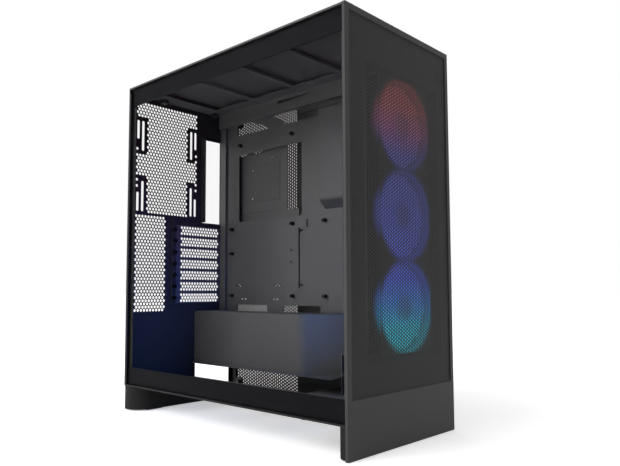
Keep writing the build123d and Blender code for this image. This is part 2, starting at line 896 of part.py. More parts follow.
# Rail along the top of the tray
with BuildPart() as upper_rail:
    with BuildSketch(Plane.XZ.offset(-rail_front)):
        window((rail_left, rail_low), (rail_left + sheet, ceiling), Mode.ADD)
        window((rail_left, rail_low), (rail_left + rail_shelf, rail_low + sheet), Mode.ADD)
    extrude(amount=rail_front - rail_rear)
    with BuildSketch(Plane.YZ.offset(rail_left)):
        with Locations((rail_rear - rail_slot_back, ceiling - rail_slot_drop)):
            SlotOverall(rail_slot_long, rail_slot_wide)
    extrude(amount=sheet, mode=Mode.SUBTRACT)
save(upper_rail, "upper_rail")

# Cable cover, proud of the tray's front end
with BuildPart() as cable_cover:
    with BuildSketch(Plane.XZ.offset(-cover_rear)):
        with BuildLine():
            Polyline(
                (tray_left, cover_low),
                (tray_left - cover_proud, cover_low + cover_bevel),
                (tray_left - cover_proud, rail_low - clear),
                (tray_left, rail_low - clear),
                close=True,
            )
        make_face()
    extrude(amount=cover_rear - tray_front, mode=Mode.ADD)
    offset(amount=-sheet, openings=cable_cover.faces().sort_by(Axis.X)[-1])
save(cable_cover, "cable_cover")

# Power supply shroud: a wall, a turned front end, a top plate and a lip
turn_x = shroud_left + shroud_turn
with BuildPart() as psu_shroud:
    with BuildSketch(Plane.XY.offset(shroud_low)):
        with BuildLine():
            Polyline(
                (shroud_left, rear_inside),
                (shroud_left, shroud_bend),
                (turn_x, shroud_front),
                (turn_x + sheet, shroud_front),
                (shroud_left + sheet, shroud_bend),
                (shroud_left + sheet, rear_inside),
                close=True,
            )
        make_face()
    extrude(amount=shroud_high - shroud_low)
    with BuildSketch(Plane.XY.offset(shroud_high - sheet)):
        with BuildLine():
            Polyline(
                (shroud_left + sheet, rear_inside),
                (shroud_left + sheet, shroud_bend),
                (turn_x + sheet, shroud_front),
                (tray_back, shroud_front),
                (tray_back, rear_inside),
                close=True,
            )
        make_face()
    extrude(amount=sheet)
    with BuildSketch(Plane.XY.offset(shroud_low)):
        with BuildLine():
            Polyline(
                (shroud_left, rear_inside),
                (shroud_left - shroud_lip / 2, rear_inside),
                (shroud_left - shroud_lip, shroud_bend),
                (turn_x - shroud_lip, shroud_front),
                (turn_x, shroud_front),
                (shroud_left, shroud_bend),
                close=True,
            )
        make_face()
    extrude(amount=sheet)
    leg_corner = (turn_x + sheet, shroud_front + shroud_leg, shroud_low + sheet)
    block((turn_x, shroud_front, floor_top), leg_corner)
save(psu_shroud, "psu_shroud")

# Drive plate behind the tray's large cut-out, and its posts
plate_x = tray_back + plate_gap
post_ys = (plate_rear - post_inset, plate_front + post_inset)
post_zs = (cpu_low - post_drop, cpu_high + post_rise)
post_places = [(y, z) for y in post_ys for z in post_zs]
groove_rear = plate_rear - groove_inset
groove_front = groove_rear - drive_long - groove_extra
groove_low = plate_low + groove_rise
groove_high = groove_low + drive_wide
with BuildPart() as drive_plate:
    with BuildSketch(Plane.YZ.offset(plate_x)):
        window((plate_front, plate_low), (plate_rear, plate_high), Mode.ADD)
        for y in post_ys:
            window((y - ear_half, post_zs[0] - ear_half), (y + ear_half, plate_low), Mode.ADD)
            window((y - ear_half, plate_high), (y + ear_half, post_zs[1] + ear_half), Mode.ADD)
        window((plate_front - plate_tab_long, plate_low), (plate_front, cpu_low + plate_tab_tall), Mode.ADD)
        for near, far in plate_notch_spans:
            window((plate_rear - far, plate_high - plate_notch_deep), (plate_rear - near, plate_high))
        dots(post_places, screw_radius + clear / 2)
        dots(plate_holes, screw_radius)
    extrude(amount=sheet)
    with BuildSketch(Plane.YZ.offset(plate_x)):
        for z in (groove_low, groove_high, groove_low - groove_step):
            window((groove_front, z), (groove_rear, z + groove_wide), Mode.ADD)
        window((groove_front, groove_low), (groove_front + groove_wide, groove_high), Mode.ADD)
    extrude(amount=groove_deep, mode=Mode.SUBTRACT)
save(drive_plate, "drive_plate")

with BuildPart() as plate_posts:
    for y, z in post_places:
        rod((tray_back, y, z), (1, 0, 0), plate_gap, 2 * screw_radius)
        rod((plate_x, y, z), (1, 0, 0), sheet, screw_radius - clear / 2)
        rod((plate_x + sheet, y, z), (1, 0, 0), screw_head, 2 * screw_radius)
save(plate_posts, "plate_posts")

# Drive cage on the floor behind the front frame, open to both sides
with BuildPart() as drive_cage:
    cage_left = turn_x + sheet + cage_gap
    block((cage_left, cage_front, floor_top), (cage_right, cage_rear, floor_top + cage_tall))
    block(
        (turn_x, cage_front + sheet, floor_top + sheet),
        (half_width, cage_rear - sheet, floor_top + cage_tall / 2 - sheet / 2),
        Mode.SUBTRACT,
    )
    block(
        (turn_x, cage_front + sheet, floor_top + cage_tall / 2 + sheet / 2),
        (half_width, cage_rear - sheet, floor_top + cage_tall - sheet),
        Mode.SUBTRACT,
    )
save(drive_cage, "drive_cage")

# Feet and rubber pads
with BuildPart() as front_foot:
    block((-half_width, frame_front, pad_height), (side, frame_front + front_foot_thick, leg_height))
    lower_edges = front_foot.edges().filter_by(Axis.X).group_by(Axis.Z)[0]
    fillet(lower_edges.sort_by(Axis.Y)[-1], front_foot_thick / 2)
save(front_foot, "front_foot")

with BuildPart() as rear_foot:
    rear_foot_front = half_depth - rear_foot_deep
    with BuildSketch(Plane.XY.offset(pad_height)) as foot_plan:
        window((-half_width, rear_foot_front), (side, half_depth), Mode.ADD)
        fillet(foot_plan.vertices().group_by(Axis.Y)[0], rear_foot_round)
        fillet(foot_plan.vertices().group_by(Axis.Y)[-1], foot_corner)
    extrude(amount=leg_height - pad_height)
    bay_corner = (half_width, half_depth + overcut, leg_height + overcut)
    block((bay_left - clear, rear_foot_front - overcut, bay_low), bay_corner, Mode.SUBTRACT)
save(rear_foot, "rear_foot")

with BuildPart() as foot_pads:
    for x in (-half_width + front_pad_inset, side - front_pad_inset - pad_long):
        block((x, frame_front + pad_edge, 0), (x + pad_long, frame_front + front_foot_thick / 2, pad_height))
    for x in (-half_width + rear_pad_inset, side - rear_pad_inset - pad_long):
        block((x, rear_foot_front + pad_inset, 0), (x + pad_long, half_depth - pad_inset, pad_height))
save(foot_pads, "foot_pads")


def socket(start, direction):
    """Square block with a hole for a stud, from its mouth along a direction."""
    across = (direction[1], direction[2], direction[0])
    with Locations(Plane(origin=start, x_dir=across, z_dir=direction).location):
        Box(socket_side, socket_side, socket_deep, align=(Align.CENTER, Align.CENTER, Align.MIN))
    mouth = Vector(*start) - Vector(*direction) * overcut
    rod(mouth, direction, socket_deep + 2 * overcut, clip_hole, Mode.SUBTRACT)


# Clip sockets on the chassis, one under each stud
with BuildPart() as clip_sockets:
    for y in glass_clip_ys:
        socket((-side + sheet, y, low_clip_z), (1, 0, 0))
        socket((-side + sheet, y, high_clip_z), (1, 0, 0))
    for y in right_clip_ys:
        socket((side - sheet, y, high_clip_z), (-1, 0, 0))
    for y in bay_clip_ys:
        socket((side - sheet, y, bay_clip_z), (-1, 0, 0))
    for x, z in front_clip_places:
        socket((x, frame_front + sheet, z), (0, 1, 0))
    for x, y in top_clip_places:
        socket((x, y, ceiling), (0, 0, -1))
save(clip_sockets, "clip_sockets")


def stud(start, direction):
    """Short pin with a ball on its end."""
    rod(start, direction, stud_reach - ball_radius, stud_radius)
    tip = Vector(*start) + Vector(*direction) * (stud_reach - ball_radius)
    with Locations(Plane(origin=tip, z_dir=direction).location):
        Sphere(ball_radius)


# Glass side panel: pane, black rails bonded behind its top and bottom edges, and studs
rail_inside = -half_width + glass_thick
rail_face = rail_inside + rail_thick
with BuildPart() as glass_pane:
    block((-half_width, panel_front, glass_low), (rail_inside, panel_rear, panel_top))
    chamfer(glass_pane.edges().group_by(Axis.X)[0], edge_round / 2)
save(glass_pane, "glass_pane")

with BuildPart() as glass_top_rail:
    block((rail_inside, panel_front, panel_top - top_band), (rail_face, panel_rear, panel_top))
save(glass_top_rail, "glass_top_rail")

with BuildPart() as glass_bottom_rail:
    block((rail_inside, panel_front, glass_low), (rail_face, panel_rear, glass_low + bottom_band))
save(glass_bottom_rail, "glass_bottom_rail")

with BuildPart() as glass_studs:
    for y in glass_clip_ys:
        for z in (low_clip_z, high_clip_z):
            stud((rail_face, y, z), (1, 0, 0))
save(glass_studs, "glass_studs")

# Steel right panel with folded top and bottom edges, its vent mesh and studs
vent_low = bay_low + vent_margin
vent_high = panel_top - vent_top_margin
panel_low = bay_low - panel_drop
flange_x = side + clear
with BuildPart() as right_panel:
    with BuildSketch(Plane.YZ.offset(half_width)):
        window((panel_front, panel_low), (panel_rear, panel_top), Mode.ADD)
        window((vent_front, vent_low), (vent_rear, vent_high))
    extrude(amount=-sheet)
    for low, high, edge in (
        (panel_top - return_flange, panel_top, panel_top - sheet),
        (panel_low, panel_low + return_flange, panel_low),
    ):
        for near, far in ((panel_front, front_flange_end), (rear_flange_start, panel_rear)):
            block((flange_x, near, edge), (half_width, far, edge + sheet))
            block((flange_x, near, low), (flange_x + sheet, far, high))
    fillet(right_panel.edges().filter_by(Axis.Y).group_by(Axis.X)[-1].sort_by(Axis.Z)[-1], edge_round)
save(right_panel, "right_panel")

with BuildPart() as right_mesh:
    with BuildSketch(Plane.YZ.offset(half_width - sheet / 2 - mesh_thick / 2)):
        grille((vent_front, vent_low), (vent_rear, vent_high), side_open)
    extrude(amount=mesh_thick)
save(right_mesh, "right_mesh")

with BuildPart() as right_studs:
    for y in right_clip_ys:
        stud((flange_x, y, high_clip_z), (-1, 0, 0))
    for y in bay_clip_ys:
        stud((flange_x, y, bay_clip_z), (-1, 0, 0))
save(right_studs, "right_studs")

# Front panel, down to the ground, with its mesh, clip lugs and studs
mesh_half = half_width - front_border
mesh_top = height - front_border
lug_front = mesh_front + mesh_thick
with BuildPart() as front_panel:
    with BuildSketch(Plane.XZ.offset(half_depth)):
        window((-half_width, front_rise), (half_width, height), Mode.ADD)
        window((-mesh_half, front_solid), (mesh_half, mesh_top))
    extrude(amount=-front_thick)
    fillet(front_panel.edges().filter_by(Axis.Z).group_by(Axis.Y)[0].group_by(Axis.X)[0], edge_round)
    fillet(front_panel.edges().filter_by(Axis.Z).group_by(Axis.Y)[0].group_by(Axis.X)[-1], edge_round)
    for x, z in front_clip_places:
        inner = x - lug_wide / 2 if x > 0 else -mesh_half
        outer = mesh_half if x > 0 else x + lug_wide / 2
        if z > front_solid:
            block((inner, lug_front, z - lug_tall / 2), (outer, front_back, z + lug_tall / 2))
save(front_panel, "front_panel")

with BuildPart() as front_mesh:
    block((-mesh_half, mesh_front, front_solid), (mesh_half, lug_front, mesh_top))
save(front_mesh, "front_mesh")

with BuildPart() as front_studs:
    for x, z in front_clip_places:
        stud((x, front_back, z), (0, 1, 0))
save(front_studs, "front_studs")

# Top panel behind the connector strip, with its skirts, mesh and studs
top_mesh_half = half_width - top_border
top_mesh_front = frame_front + top_front_strip
top_mesh_rear = half_depth - top_rear_strip
top_panel_front = strip_rear + clear
with BuildPart() as top_panel:
    with BuildSketch(Plane.XY.offset(top_low)):
        window((-half_width, top_panel_front), (half_width, half_depth), Mode.ADD)
        window((-top_mesh_half, top_mesh_front), (top_mesh_half, top_mesh_rear))
    extrude(amount=top_thick)
    fillet(top_panel.edges().filter_by(Axis.Y).group_by(Axis.Z)[-1].group_by(Axis.X)[0], edge_round)
    fillet(top_panel.edges().filter_by(Axis.Y).group_by(Axis.Z)[-1].group_by(Axis.X)[-1], edge_round)
save(top_panel, "top_panel")

with BuildPart() as top_skirts:
    skirt_near = top_mesh_half + skirt_inset
    skirt_front = top_panel_front + skirt_end
    for way in (-1, 1):
        skirt = sorted((way * skirt_near, way * (skirt_near + sheet)))
        block((skirt[0], skirt_front, ceiling_top + clear), (skirt[1], rear_inside - skirt_end, top_low))
save(top_skirts, "top_skirts")

with BuildPart() as top_mesh:
    with BuildSketch(Plane.XY.offset(height - top_thick / 2 - mesh_thick / 2)):
        grille((-top_mesh_half, top_mesh_front), (top_mesh_half, top_mesh_rear), top_open)
    extrude(amount=mesh_thick)
save(top_mesh, "top_mesh")

with BuildPart() as top_studs:
    for x, y in top_clip_places:
        rod((x, y, top_low), (0, 0, -1), top_low - ceiling_top, stud_radius)
        stud((x, y, ceiling_top), (0, 0, -1))
save(top_studs, "top_studs")

# Dust filter that slides out under the floor
filter_low = leg_height - clear - filter_thick
filter_right = bay_left - filter_gap
with BuildPart() as filter_frame:
    block((filter_left, -filter_half, filter_low), (filter_right, filter_half, filter_low + filter_thick))
    block(
        (filter_left + filter_border, -filter_half + filter_border, filter_low - overcut),
        (filter_right - filter_border, filter_half - filter_border, leg_height),
        Mode.SUBTRACT,
    )
    fillet(filter_frame.edges().filter_by(Axis.Z).group_by(Axis.X)[0], filter_corner)
save(filter_frame, "filter_frame")

with BuildPart() as filter_mesh:
    middle_z = filter_low + filter_thick / 2
    block(
        (filter_left + filter_border, -filter_half + filter_border, middle_z - mesh_thick / 2),
        (filter_right - filter_border, filter_half - filter_border, middle_z + mesh_thick / 2),
    )
save(filter_mesh, "filter_mesh")

# Front connector board on its hanger, with the button's guide
hanger_left = usb_a_x[0] - usb_a_size[0] / 2 - hanger_start
hanger_right = button_x + button_radius + hanger_end
port_base = port_low + board_thick
board_front = port_y - board_half
board_back = port_y + board_half
with BuildPart() as port_board:
    block((hanger_left, board_front, port_low), (hanger_right, board_back, port_base))
    block((hanger_left, board_front, port_low), (hanger_left + sheet, board_back, ceiling))
    block((hanger_right - sheet, board_front, port_low), (hanger_right, board_back, ceiling))
    guide_tall = ceiling - port_base - guide_short
    rod((button_x, port_y, port_base), (0, 0, 1), guide_tall, stem_radius + guide_wall)
    rod((button_x, port_y, port_base), (0, 0, 1), ceiling, stem_radius + clear, Mode.SUBTRACT)
save(port_board, "port_board")

port_top = height - port_sink
with BuildPart() as usb_a_ports:
    with BuildSketch(Plane.XY.offset(port_base)):
        for x in usb_a_x:
            with Locations((x, port_y)):
                Rectangle(*usb_a_size)
                Rectangle(usb_a_size[0] - 2 * port_wall, usb_a_size[1] - 2 * port_wall, mode=Mode.SUBTRACT)
    extrude(amount=port_top - port_base)
    with BuildSketch(Plane.XY.offset(port_base)):
        for x in usb_a_x:
            with Locations((x, port_y)):
                Rectangle(*usb_a_size)
    extrude(amount=board_thick)
    with BuildSketch(Plane.XY.offset(port_base)):
        for x in usb_a_x:
            with Locations((x, port_y - usb_a_size[1] / 2 + port_wall + tongue_gap)):
                Rectangle(usb_a_size[0] - 2 * port_wall - 2 * tongue_side, usb_a_tongue)
    extrude(amount=port_top - port_base - tongue_short)
save(usb_a_ports, "usb_a_ports")

with BuildPart() as usb_c_port:
    with BuildSketch(Plane.XY.offset(port_base)):
        with Locations((usb_c_x, port_y)):
            SlotOverall(*usb_c_size)
            SlotOverall(usb_c_size[0] - 2 * port_wall, usb_c_size[1] - 2 * port_wall, mode=Mode.SUBTRACT)
    extrude(amount=port_top - port_base)
    with BuildSketch(Plane.XY.offset(port_base)):
        with Locations((usb_c_x, port_y)):
            SlotOverall(*usb_c_size)
    extrude(amount=board_thick)
    with BuildSketch(Plane.XY.offset(port_base)):
        with Locations((usb_c_x, port_y)):
            Rectangle(usb_c_size[0] - 2 * port_wall - 2 * tongue_side, usb_c_tongue)
    extrude(amount=port_top - port_base - tongue_short)
save(usb_c_port, "usb_c_port")

with BuildPart() as audio_jack:
    rod((audio_x, port_y, port_base), (0, 0, 1), port_top - port_base, audio_radius)
    jack_floor = (audio_x, port_y, port_base + board_thick)
    rod(jack_floor, (0, 0, 1), height, audio_radius - audio_wall, Mode.SUBTRACT)
save(audio_jack, "audio_jack")

# Power switch, and the button that presses it
with BuildPart() as power_switch:
    rod((button_x, port_y, port_base), (0, 0, 1), switch_tall, stem_radius - clear)
save(power_switch, "power_switch")

button_top = height - port_sink / 2
button_low = ceiling_top + button_travel + clear
with BuildPart() as power_button:
    rod((button_x, port_y, button_low), (0, 0, 1), button_top - button_low, button_radius)
    fillet(power_button.edges().filter_by(GeomType.CIRCLE).group_by(Axis.Z)[-1], edge_round)
    stem_low = port_base + switch_tall + button_travel + clear
    rod((button_x, port_y, stem_low), (0, 0, 1), button_low - stem_low, stem_radius)
save(power_button, "power_button")
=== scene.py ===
import json
import math

import bpy
import numpy as np
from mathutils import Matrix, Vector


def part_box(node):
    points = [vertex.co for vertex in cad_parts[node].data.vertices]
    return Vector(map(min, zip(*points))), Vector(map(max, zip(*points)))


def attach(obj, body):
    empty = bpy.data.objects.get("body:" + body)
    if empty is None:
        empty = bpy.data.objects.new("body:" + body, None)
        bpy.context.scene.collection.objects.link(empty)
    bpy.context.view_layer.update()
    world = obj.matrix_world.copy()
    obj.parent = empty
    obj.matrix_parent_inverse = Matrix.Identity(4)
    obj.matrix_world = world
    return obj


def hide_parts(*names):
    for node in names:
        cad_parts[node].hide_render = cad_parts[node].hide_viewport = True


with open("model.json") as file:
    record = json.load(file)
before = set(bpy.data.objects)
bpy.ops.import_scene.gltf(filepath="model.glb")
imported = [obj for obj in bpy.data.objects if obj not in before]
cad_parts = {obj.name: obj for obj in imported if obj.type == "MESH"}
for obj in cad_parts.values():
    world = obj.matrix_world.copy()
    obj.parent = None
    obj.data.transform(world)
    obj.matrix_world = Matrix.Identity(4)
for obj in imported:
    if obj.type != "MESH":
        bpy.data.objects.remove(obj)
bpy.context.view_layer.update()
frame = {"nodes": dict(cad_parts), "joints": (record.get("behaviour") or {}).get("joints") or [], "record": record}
nodes = frame["nodes"]

# Camera at the photograph's viewing angle, in metres and degrees
CAMERA_PLACE = (-0.69607, -0.68053, 0.19459)
CAMERA_TILT = 94.310
CAMERA_TURN = -45.755
CAMERA_LENS = 36.143
CAMERA_SHIFT = (0.05253, 0.01921)

# Holes of the perforated sheets: pitch in metres, and open share
FRONT_HOLES = (0.0044, 0.42)
SIDE_HOLES = (0.0055, 0.20)
TOP_HOLES = (0.0044, 0.14)
FILTER_HOLES = (0.0030, 0.55)

# Cable cover's folds, in metres
COVER_BEVEL = 0.014
COVER_BEND = 0.005
COVER_DROP = 0.0095
COVER_SEAM = 0.0002

# Power supply shroud's folds, in metres and degrees
SHROUD_LIP = 0.007
SHROUD_TALL = 0.091
SHROUD_DROP = 0.003
SHROUD_BEND = -0.022
SHROUD_RADIUS = 0.030
SHROUD_TURN = 36.0
SHROUD_SHORT = 0.021
SHROUD_EDGE = 0.002

# Glass pane's ground edge, and the strip along the floor pan's lip that painted shade darkens, in metres
GROUND_EDGE = 0.0015
LIP_SHADE_EDGE = (0.0005, 0.003)

# Fans' places, from the frame
FAN_NODES = ("fan_rotor_1", "fan_rotor_2", "fan_rotor_3")
FAN_BODIES = ("top_fan_rotor", "middle_fan_rotor", "bottom_fan_rotor")
FAN_PLACES = {joint["child"]: joint["pos_m"] for joint in frame["joints"] if joint.get("continuous")}
FAN_X = FAN_PLACES[FAN_BODIES[0]][0]
FAN_HEIGHTS = [FAN_PLACES[body][2] for body in FAN_BODIES]
TIP_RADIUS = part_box("fan_rotor_2")[1].z - FAN_HEIGHTS[1]

# Fan wheels, in metres and degrees
BLADE_COUNT = 9
BLADE_SPREAD = 60.0
BLADE_SWEEP = 22.0
BLADE_THICK = 0.0016
BLADE_DEPTH = 0.35
BLADE_BOW = 0.10
HUB_RADIUS = 0.021
HUB_ROUND = 0.003
HUB_WALL = 0.002
HUB_DISH = 0.0006
HUB_DISH_REACH = 0.72
HUB_FACE_REACH = 0.76

# Fans' light painted onto their frame as emission: shares of the tips' radius, then metres
GLOW_LEVEL = 0.8
GLOW_REACH = (0.98, 1.19)
GLOW_NARROW = 0.9
GLOW_DEPTH = (0.004, 0.022)
FLANK_EDGE = 0.001

# Fans' light into the chamber, in metres, watts and degrees
FAN_LAMP_GAP = 0.004
FAN_LAMP_SIZE = (0.09, 0.09)
FAN_BEAM_POWER = 0.22
FAN_BEAM_SPREAD = 60
FAN_BEAM_DROP = 0.05
FAN_GLOW_POWER = 0.06
FAN_LIGHT = ((0.25, 0.05, 0.09), (0.12, 0.14, 1.0), (0.03, 0.25, 1.0))

# Colours, as linear light
BLACK_PAINT = (0.027, 0.027, 0.028)
CHASSIS_PAINT = (0.045, 0.045, 0.046)
BAND_BLACK = (0.006, 0.006, 0.007)
PLASTIC_BLACK = (0.016, 0.016, 0.017)
RUBBER_BLACK = (0.010, 0.010, 0.010)
# Rear wall's paint: a darker copy of the chassis paint, painted shade
REAR_SHADED_PAINT = (0.016, 0.016, 0.017)
# Top's paint: a paler copy of the chassis paint, painted light on the ceiling
TOP_LIT_PAINT = (0.060, 0.060, 0.061)
DARK_STEEL = (0.10, 0.10, 0.105)
BLACK_STEEL = (0.025, 0.025, 0.027)
BRIGHT_STEEL = (0.52, 0.52, 0.53)
BOARD_DARK = (0.012, 0.018, 0.015)
MILK_WHITE = (0.62, 0.64, 0.70)
FLOOR_WHITE = (0.86, 0.86, 0.87)
PLAIN_WHITE = (1.0, 1.0, 1.0)
NO_LIGHT = (0.0, 0.0, 0.0)

# Stage: the world's light, the floor's half width and its shown white near the tower, turned down there as painted
# shade, and where the lamps face
WORLD_LIGHT = 0.19
FLOOR_HALF = 40.0
FLOOR_SHADED_LEVEL = 0.46
FLOOR_REACH = (0.25, 1.3)
MIDDLE = (0.0, 0.0, 0.28)

# Fan colours from the lowest wheel's bottom to the highest wheel's top
GLOW_STOPS = (
    (0.00, (0.00, 0.62, 0.78)),
    (0.08, (0.00, 0.62, 0.86)),
    (0.16, (0.02, 0.34, 1.00)),
    (0.26, (0.06, 0.12, 0.95)),
    (0.38, (0.09, 0.12, 0.72)),
    (0.64, (0.09, 0.11, 0.60)),
    (0.74, (0.10, 0.09, 0.48)),
    (0.84, (0.40, 0.09, 0.26)),
    (0.93, (0.44, 0.08, 0.09)),
    (1.00, (0.42, 0.07, 0.07)),
)


class Socket:
    """One output of a shader's nodes. An operator on values adds a Math node."""

    def __init__(self, shading, output):
        self.shading = shading
        self.output = output

    def __add__(self, other):
        return self.shading.math("ADD", self, other)

    __radd__ = __add__

    def __sub__(self, other):
        return self.shading.math("SUBTRACT", self, other)

    def __rsub__(self, other):
        return self.shading.math("SUBTRACT", other, self)

    def __mul__(self, other):
        return self.shading.math("MULTIPLY", self, other)

    __rmul__ = __mul__

    def __truediv__(self, other):
        return self.shading.math("DIVIDE", self, other)

    def __rtruediv__(self, other):
        return self.shading.math("DIVIDE", other, self)

    def __pow__(self, other):
        return self.shading.math("POWER", self, other)


class Shading:
    """The nodes of a material or a world."""

    def __init__(self, tree):
        self.tree = tree

    def node(self, kind, settings=None, inputs=None, output=0):
        """Add a node: its settings first, then a value or a link for each input. Gives one output."""
        made = self.tree.nodes.new(kind)
        for name, value in (settings or {}).items():
            if name == "stops":
                self.set_stops(made.color_ramp, value)
            else:
                setattr(made, name, value)
        for name, value in (inputs or {}).items():
            self.feed(made.inputs[name], value)
        return Socket(self, made.outputs[output])

    def math(self, operation, *values):
        return self.node("ShaderNodeMath", {"operation": operation}, dict(enumerate(values)))

    def shown(self):
        """One for rays that show the surface: from the camera, a reflection or through glass."""
        camera = self.node("ShaderNodeLightPath", output="Is Camera Ray")
        reflected = self.node("ShaderNodeLightPath", output="Is Glossy Ray")
        passed = self.node("ShaderNodeLightPath", output="Is Transmission Ray")
        return self.math("MAXIMUM", self.math("MAXIMUM", camera, reflected), passed)

    def set_stops(self, ramp, stops):
        while len(ramp.elements) < len(stops):
            ramp.elements.new(1.0)
        for element, (position, colour) in zip(ramp.elements, stops):
            element.position = position
            element.color = (*colour, 1.0)

    def feed(self, entry, value):
        if isinstance(value, Socket):
            self.tree.links.new(value.output, entry)
        else:
            entry.default_value = value


class Finish(Shading):
    """A material: one Principled shader, with expressions on sockets for what changes over the surface."""

    def __init__(self, name, **constants):
        self.material = bpy.data.materials.new(name)
        self.material.use_nodes = True
        super().__init__(self.material.node_tree)
        self.shader = self.tree.nodes["Principled BSDF"]
        self.drive(**constants)
        self.place = self.node("ShaderNodeTexCoord", output="Object")

    def drive(self, **values):
        """Feed the shader's own inputs, with spaces written as underscores."""
        for name, value in values.items():
            self.feed(self.shader.inputs[name.replace("_", " ")], value)

    def noise(self, scale, detail=2.0, roughness=0.5):
        inputs = {"Vector": self.place, "Scale": scale, "Detail": detail, "Roughness": roughness}
        return self.node("ShaderNodeTexNoise", None, inputs, "Fac")

    def mix(self, share, first, second):
        inputs = {0: share, 6: colour_of(first), 7: colour_of(second)}
        return self.node("ShaderNodeMix", {"data_type": "RGBA"}, inputs, 2)

    def smooth(self, value, low, high):
        """Smooth step of a value from 0 at low to 1 at high."""
        inputs = {"Value": value, "From Min": low, "From Max": high}
        return self.node("ShaderNodeMapRange", {"interpolation_type": "SMOOTHSTEP"}, inputs)

    def axis(self, name):
        return self.node("ShaderNodeSeparateXYZ", None, {0: self.place}, name)

    def bump(self, height, distance, strength=1.0):
        inputs = {"Height": height, "Distance": distance, "Strength": strength}
        self.drive(Normal=self.node("ShaderNodeBump", None, inputs, "Normal"))


def colour_of(value):
    """A colour as a node's input takes it: four numbers, or a link as it is."""
    return value if isinstance(value, Socket) else (*value[:3], 1.0)


def scaled(colour, factor):
    return tuple(channel * factor for channel in colour)


# Finishes


def orange_peel(coat, roughness, patches):
    """Fine orange peel in the bump and the gloss, with slow patches in the gloss."""
    skin = coat.noise(1500.0, 2.0)
    coat.drive(Roughness=roughness + 0.10 * (skin - 0.5) + 0.08 * (patches - 0.5))
    coat.bump(skin, 0.00003, 0.5)


def powder_coat(name, colour, roughness, specular):
    """Satin powder coat with orange peel, slowly uneven in colour and gloss."""
    coat = Finish(name, Specular_IOR_Level=specular)
    drift = coat.noise(11.0, 3.0)
    coat.drive(Base_Color=coat.mix(drift, scaled(colour, 0.86), scaled(colour, 1.14)))
    orange_peel(coat, roughness, drift)
    return coat.material


def painted_floor_coat(name, colour):
    """Powder coat of the chamber's floor: painted light makes it paler inside, in uneven patches, and painted
    shade makes it dark along the glass's lip.
    """
    coat = Finish(name, Specular_IOR_Level=0.1)
    lift_patches = coat.noise(40.0, 4.0, 0.6)
    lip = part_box("floor_pan")[0].x
    # Painted shade: the strip along the lip is darkened to a quarter of the colour
    inside = coat.smooth(coat.axis("X"), lip + LIP_SHADE_EDGE[0], lip + LIP_SHADE_EDGE[1])
    # Painted light: inside the lip the coat is lifted to one and a half to twice its colour, in uneven patches
    pale = coat.mix(lift_patches, scaled(colour, 1.5), scaled(colour, 2.1))
    coat.drive(Base_Color=coat.mix(inside, scaled(colour, 0.25), pale))
    orange_peel(coat, 0.5, lift_patches)
    return coat.material


def spark_grain(plastic, colour, roughness):
    """Fine spark-eroded grain in the bump and the gloss, with faint flow clouds in the colour."""
    grain = plastic.noise(2600.0, 1.0)
    cloud = plastic.noise(26.0, 2.0)
    plastic.drive(Base_Color=plastic.mix(cloud, scaled(colour, 0.8), scaled(colour, 1.2)))
    plastic.drive(Roughness=roughness + 0.14 * (grain - 0.5))
    plastic.bump(grain, 0.00004, 0.6)


def moulded_plastic(name, colour, roughness, specular=0.4):
    """Black moulded plastic."""
    plastic = Finish(name, Specular_IOR_Level=specular)
    spark_grain(plastic, colour, roughness)
    return plastic.material


def turned_steel(name, colour, roughness):
    """Turned steel with fine streaks and small dull patches."""
    steel = Finish(name, Metallic=1.0)
    streak = steel.noise(900.0, 4.0, 0.7)
    patch = steel.noise(140.0, 2.0)
    steel.drive(Base_Color=steel.mix(patch, scaled(colour, 0.75), scaled(colour, 1.15)))
    steel.drive(Roughness=roughness + 0.2 * (streak - 0.5))
    steel.bump(streak, 0.00002, 0.5)
    return steel.material


def rubber(name, colour):
    """Dull rubber with a dusty bloom."""
    soft = Finish(name, Specular_IOR_Level=0.25)
    bloom = soft.noise(320.0, 3.0)
    soft.drive(Base_Color=soft.mix(bloom, scaled(colour, 0.8), scaled(colour, 1.6)))
    soft.drive(Roughness=0.82 + 0.1 * (bloom - 0.5))
    soft.bump(bloom, 0.00006, 0.6)
    return soft.material


def circuit_laminate(name, colour):
    """Dark board laminate with a woven glass grid under its gloss."""
    board = Finish(name, Specular_IOR_Level=0.5)
    threads = {"Vector": board.place, "Scale": 500.0}
    warp = board.node("ShaderNodeTexWave", {"bands_direction": "X"}, threads)
    weft = board.node("ShaderNodeTexWave", {"bands_direction": "Y"}, threads)
    weave = board.math("MAXIMUM", warp, weft)
    board.drive(Base_Color=board.mix(weave, scaled(colour, 0.8), scaled(colour, 1.5)))
    board.drive(Roughness=0.42 + 0.08 * weave)
    board.bump(weave, 0.00002, 0.4)
    return board.material


def clear_glass(name):
    """Nearly clear thin glass: a film of wiping streaks dims it a little, and its ground edge is darker."""
    glass = Finish(name, Base_Color=(0.0, 0.0, 0.0, 1.0), Roughness=0.04, Specular_IOR_Level=0.0)
    low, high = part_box("glass_pane")
    streak = glass.noise(7.0, 4.0, 0.6)
    inside = glass.smooth(glass.axis("Y"), low.y, low.y + GROUND_EDGE)
    inside = inside * glass.smooth(glass.axis("Y"), high.y, high.y - GROUND_EDGE)
    inside = inside * glass.smooth(glass.axis("Z"), low.z, low.z + GROUND_EDGE)
    inside = inside * glass.smooth(glass.axis("Z"), high.z, high.z - GROUND_EDGE)
    glass.drive(Alpha=0.02 + 0.03 * streak + 0.4 * (1.0 - inside))
    return glass.material


def glow_colour(finish):
    """The fans' colour at a height, from the lowest wheel's bottom to the highest wheel's top."""
    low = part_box("fan_rotor_3")[0].z
    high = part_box("fan_rotor_1")[1].z
    share = (finish.axis("Z") - low) / (high - low)
    return finish.node("ShaderNodeValToRGB", {"stops": GLOW_STOPS}, {0: share}, "Color")


